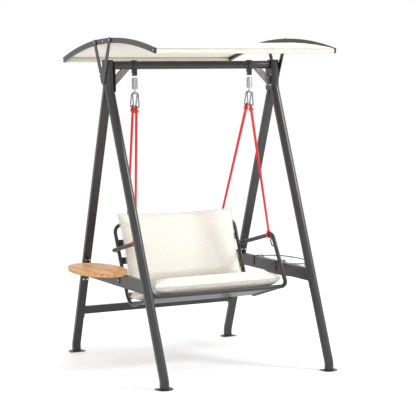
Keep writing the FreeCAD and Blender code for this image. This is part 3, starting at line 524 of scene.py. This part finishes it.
# %% Node group helper
def new_group(name, inputs, outputs):
    tree = bpy.data.node_groups.new(name, "ShaderNodeTree")
    for label, kind, value in inputs:
        socket = tree.interface.new_socket(label, in_out="INPUT", socket_type=kind)
        socket.default_value = value
    for label, kind in outputs:
        tree.interface.new_socket(label, in_out="OUTPUT", socket_type=kind)
    return tree, tree.nodes.new("NodeGroupInput"), tree.nodes.new("NodeGroupOutput")


def maths(tree, operation, first, second=0.0):
    node = tree.nodes.new("ShaderNodeMath")
    node.operation = operation
    for socket, value in zip(node.inputs, (first, second)):
        if isinstance(value, (int, float)):
            socket.default_value = value
        else:
            tree.links.new(value, socket)
    return node.outputs[0]


def noise_value(tree, vector, scale, detail=3.0, rough=0.55):
    node = tree.nodes.new("ShaderNodeTexNoise")
    node.inputs["Detail"].default_value = detail
    node.inputs["Roughness"].default_value = rough
    tree.links.new(vector, node.inputs["Vector"])
    if isinstance(scale, (int, float)):
        node.inputs["Scale"].default_value = scale
    else:
        tree.links.new(scale, node.inputs["Scale"])
    return node.outputs["Fac"]


def object_position(tree):
    return tree.nodes.new("ShaderNodeTexCoord").outputs["Object"]


NUMBER = "NodeSocketFloat"

# %% Fine grain: orange peel, hammered paint and dust
grain, given, out = new_group("fine grain", [("Fine scale", NUMBER, 900.0), ("Broad scale", NUMBER, 9.0)],
                              [("Tone", NUMBER), ("Height", NUMBER), ("Wear", NUMBER)])
position = object_position(grain)
fine = noise_value(grain, position, given.outputs["Fine scale"], 2.0)
broad = noise_value(grain, position, given.outputs["Broad scale"], 5.0)
grain.links.new(maths(grain, "ADD", maths(grain, "MULTIPLY", broad, 0.7),
                      maths(grain, "MULTIPLY", fine, 0.3)), out.inputs["Tone"])
grain.links.new(fine, out.inputs["Height"])
scuffs = noise_value(grain, position, maths(grain, "MULTIPLY", given.outputs["Broad scale"], 9.0), 6.0, 0.7)
grain.links.new(maths(grain, "MULTIPLY", maths(grain, "SUBTRACT", scuffs, 0.60), 5.0), out.inputs["Wear"])

# %% Plain weave: two sets of threads with uneven, flecked yarn
weave, given, out = new_group("plain weave", [("Threads per metre", NUMBER, 700.0),
                                             ("Fleck scale", NUMBER, 120.0)],
                              [("Tone", NUMBER), ("Height", NUMBER), ("Fleck", NUMBER)])
cloth = weave.nodes.new("ShaderNodeTexCoord").outputs["UV"]
split = weave.nodes.new("ShaderNodeSeparateXYZ")
weave.links.new(cloth, split.inputs[0])
turns = maths(weave, "MULTIPLY", given.outputs["Threads per metre"], math.pi)
warp = maths(weave, "ABSOLUTE", maths(weave, "SINE", maths(weave, "MULTIPLY", split.outputs[0], turns)))
weft = maths(weave, "ABSOLUTE", maths(weave, "SINE", maths(weave, "MULTIPLY", split.outputs[1], turns)))
over = maths(weave, "MULTIPLY", warp, weft)
stretched = weave.nodes.new("ShaderNodeMapping")
stretched.inputs["Scale"].default_value = (1.0, 0.28, 1.0)
weave.links.new(cloth, stretched.inputs["Vector"])
long_fleck = noise_value(weave, stretched.outputs[0], given.outputs["Fleck scale"], 4.0, 0.7)
crossed = weave.nodes.new("ShaderNodeMapping")
crossed.inputs["Scale"].default_value = (0.28, 1.0, 1.0)
weave.links.new(cloth, crossed.inputs["Vector"])
cross_fleck = noise_value(weave, crossed.outputs[0], given.outputs["Fleck scale"], 4.0, 0.7)
fleck = maths(weave, "MULTIPLY", maths(weave, "ADD", long_fleck, cross_fleck), 0.5)
weave.links.new(maths(weave, "ADD", maths(weave, "MULTIPLY", over, 0.35),
                      maths(weave, "MULTIPLY", fleck, 0.65)), out.inputs["Tone"])
weave.links.new(over, out.inputs["Height"])
weave.links.new(fleck, out.inputs["Fleck"])

# %% Wood grain: long streaks along the board, with pores that only drive the bump
wood, given, out = new_group("board grain", [("Streak scale", NUMBER, 60.0)],
                             [("Tone", NUMBER), ("Pores", NUMBER)])
mapped = wood.nodes.new("ShaderNodeMapping")
mapped.inputs["Scale"].default_value = (1.0, 0.06, 1.0)
wood.links.new(object_position(wood), mapped.inputs["Vector"])
streaks = noise_value(wood, mapped.outputs[0], given.outputs["Streak scale"], 6.0, 0.6)
pores = noise_value(wood, mapped.outputs[0], maths(wood, "MULTIPLY", given.outputs["Streak scale"], 7.0),
                    3.0, 0.6)
wood.links.new(streaks, out.inputs["Tone"])
wood.links.new(pores, out.inputs["Pores"])
print("groups", [tree.name for tree in bpy.data.node_groups])


# %% [markdown]
# ## Materials
# A material starts from two tones of one colour and a group that decides where each shows. Roughness and
# a fine bump come from the same group, so that colour and shine change together as they do on real paint,
# cloth and wood.

# %% Material helper
def make_material(name, group, settings, tones, tone_from="Tone", tone_range=(0.3, 0.7),
                  rough=(0.4, 0.5), metallic=0.0, bump=0.0, bump_from="Height", coat=0.0, sheen=0.0):
    material = bpy.data.materials.new(name)
    material.use_nodes = True
    tree = material.node_tree
    shader = tree.nodes["Principled BSDF"]
    effect = tree.nodes.new("ShaderNodeGroup")
    effect.node_tree = group
    for label, value in settings.items():
        effect.inputs[label].default_value = value
    ramp = tree.nodes.new("ShaderNodeValToRGB")
    for stop, place, colour in zip(ramp.color_ramp.elements, tone_range, tones):
        stop.position = place
        stop.color = (*colour, 1.0)
    tree.links.new(effect.outputs[tone_from], ramp.inputs["Fac"])
    tree.links.new(ramp.outputs["Color"], shader.inputs["Base Color"])
    spread = tree.nodes.new("ShaderNodeMapRange")
    spread.inputs["To Min"].default_value, spread.inputs["To Max"].default_value = rough
    tree.links.new(effect.outputs[tone_from], spread.inputs["Value"])
    tree.links.new(spread.outputs[0], shader.inputs["Roughness"])
    shader.inputs["Metallic"].default_value = metallic
    shader.inputs["Coat Weight"].default_value = coat
    shader.inputs["Sheen Weight"].default_value = sheen
    if bump:
        relief = tree.nodes.new("ShaderNodeBump")
        relief.inputs["Strength"].default_value = 0.35
        relief.inputs["Distance"].default_value = bump
        tree.links.new(effect.outputs[bump_from], relief.inputs["Height"])
        tree.links.new(relief.outputs["Normal"], shader.inputs["Normal"])
    return material


# %% The finishes of this swing
LINEN_TONES = ((0.56, 0.53, 0.47), (0.90, 0.87, 0.81))
LINEN_RANGE = (0.30, 0.56)
finishes = {
    "frame_black": make_material("anthracite powder coat", grain, {"Fine scale": 1100.0, "Broad scale": 7.0},
                                 ((0.011, 0.011, 0.011), (0.021, 0.0205, 0.020)), rough=(0.34, 0.48),
                                 bump=0.0003, coat=0.15),
    "collar_black": make_material("black cast collar", grain, {"Fine scale": 500.0, "Broad scale": 20.0},
                                  ((0.012, 0.012, 0.013), (0.026, 0.026, 0.028)), rough=(0.35, 0.55),
                                  bump=0.0004),
    "cap_plastic": make_material("moulded leg cap", grain, {"Fine scale": 1500.0, "Broad scale": 30.0},
                                 ((0.020, 0.020, 0.022), (0.035, 0.035, 0.037)), rough=(0.45, 0.6),
                                 bump=0.0002),
    "brace_grey": make_material("hammered grey brace", grain, {"Fine scale": 420.0, "Broad scale": 40.0},
                                ((0.10, 0.10, 0.10), (0.28, 0.28, 0.275)), rough=(0.35, 0.55),
                                metallic=0.3, bump=0.0008),
    "bright_bolts": make_material("bright zinc", grain, {"Fine scale": 900.0, "Broad scale": 60.0},
                                  ((0.62, 0.63, 0.66), (0.80, 0.80, 0.80)), rough=(0.20, 0.38),
                                  metallic=1.0, bump=0.0001),
    "strap_black": make_material("painted strap", grain, {"Fine scale": 800.0, "Broad scale": 25.0},
                                 ((0.022, 0.022, 0.024), (0.040, 0.040, 0.042)), rough=(0.4, 0.55),
                                 bump=0.0003),
    "wire_black": make_material("dipped wire", grain, {"Fine scale": 600.0, "Broad scale": 35.0},
                                ((0.020, 0.021, 0.023), (0.038, 0.039, 0.041)), rough=(0.28, 0.42),
                                bump=0.0003, coat=0.3),
    "spring_steel": make_material("spring wire", grain, {"Fine scale": 700.0, "Broad scale": 80.0},
                                  ((0.48, 0.49, 0.50), (0.74, 0.74, 0.74)), rough=(0.22, 0.40),
                                  metallic=1.0, bump=0.0001),
    "hook_steel": make_material("forged hook", grain, {"Fine scale": 500.0, "Broad scale": 55.0},
                                ((0.15, 0.15, 0.155), (0.34, 0.34, 0.345)), rough=(0.25, 0.42),
                                metallic=1.0, bump=0.0002),
    "teak": make_material("oiled teak", wood, {"Streak scale": 60.0},
                          ((0.40, 0.17, 0.055), (0.72, 0.38, 0.14)), tone_range=(0.34, 0.66),
                          rough=(0.42, 0.60), bump=0.0004, bump_from="Pores", coat=0.1),
    "canopy_cloth": make_material("cream canvas", weave, {"Threads per metre": 500.0, "Fleck scale": 18.0},
                                  ((0.66, 0.625, 0.545), (0.80, 0.77, 0.69)), rough=(0.8, 0.95),
                                  bump=0.0003, sheen=0.15),
    "seat_cloth": make_material("linen seat cover", weave, {"Threads per metre": 620.0, "Fleck scale": 170.0},
                                LINEN_TONES, tone_range=LINEN_RANGE,
                                rough=(0.8, 0.95), bump=0.0006, sheen=0.2),
    "red_rope": make_material("red braid", grain, {"Fine scale": 900.0, "Broad scale": 160.0},
                              ((0.50, 0.012, 0.014), (0.82, 0.045, 0.045)), rough=(0.6, 0.8),
                              bump=0.0005, sheen=0.1),
}
finishes["back_cloth"] = make_material(
    "linen back cover", weave, {"Threads per metre": 620.0, "Fleck scale": 150.0},
    LINEN_TONES, tone_range=LINEN_RANGE, rough=(0.8, 0.95),
    bump=0.0006, sheen=0.2)

# %% Put every finish on its pieces
for entry in frame["record"]["subparts"]:
    mesh = nodes[entry["node"]].data
    mesh.materials.clear()
    mesh.materials.append(finishes[entry["material_slot"]])
made = [(rope, "red_rope") for rope in ropes.values()]
made += [(knots, "red_rope"), (hitches, "red_rope"), (canvas, "canopy_cloth"),
         (front_hem, "canopy_cloth"), (rear_hem, "canopy_cloth"), (seat_cushion, "seat_cloth"),
         (seat_seam, "seat_cloth"), (back_cushion, "back_cloth"), (back_seam, "back_cloth")]
for piece, finish in made:
    piece.data.materials.append(finishes[finish])

# %% [markdown]
# ## Studio
# The swing stands on a pale floor in soft light. A large lamp at the upper right puts one bright streak
# down each round leg, a weaker one at the left lifts the dark sides, and the pale surround does the rest.

# %% Floor and lights
floor = make_mesh("studio_floor", [(-30, -30, -0.001), (30, -30, -0.001), (30, 30, -0.001),
                                   (-30, 30, -0.001)], [(0, 1, 2, 3)], smooth=False)
floor_finish = make_material(
    "studio floor", grain, {"Fine scale": 40.0, "Broad scale": 0.4},
    ((0.91, 0.91, 0.91), (0.94, 0.94, 0.94)), rough=(0.45, 0.6))
floor_shader = floor_finish.node_tree.nodes["Principled BSDF"]
floor_shader.inputs["Emission Color"].default_value = (1.0, 1.0, 1.0, 1.0)
floor_shader.inputs["Emission Strength"].default_value = 0.08
floor.data.materials.append(floor_finish)
world = bpy.data.worlds.new("studio")
world.use_nodes = True
world.node_tree.nodes["Background"].inputs["Color"].default_value = (1.0, 1.0, 1.0, 1.0)
world.node_tree.nodes["Background"].inputs["Strength"].default_value = 1.0
scene.world = world
for name, place, size, power in (("key lamp", (4.5, -4.0, 5.0), 1.4, 300.0),
                                 ("fill lamp", (-5.0, -5.0, 3.0), 4.0, 65.0),
                                 ("top lamp", (0.0, 1.0, 7.0), 5.0, 90.0)):
    lamp = bpy.data.lights.new(name, "AREA")
    lamp.size = size
    lamp.energy = power
    holder = bpy.data.objects.new(name, lamp)
    holder.location = place
    holder.rotation_euler = (Vector((0, 0, 1.0)) - Vector(place)).to_track_quat("-Z", "Y").to_euler()
    scene.collection.objects.link(holder)
scene.view_settings.view_transform = "Standard"
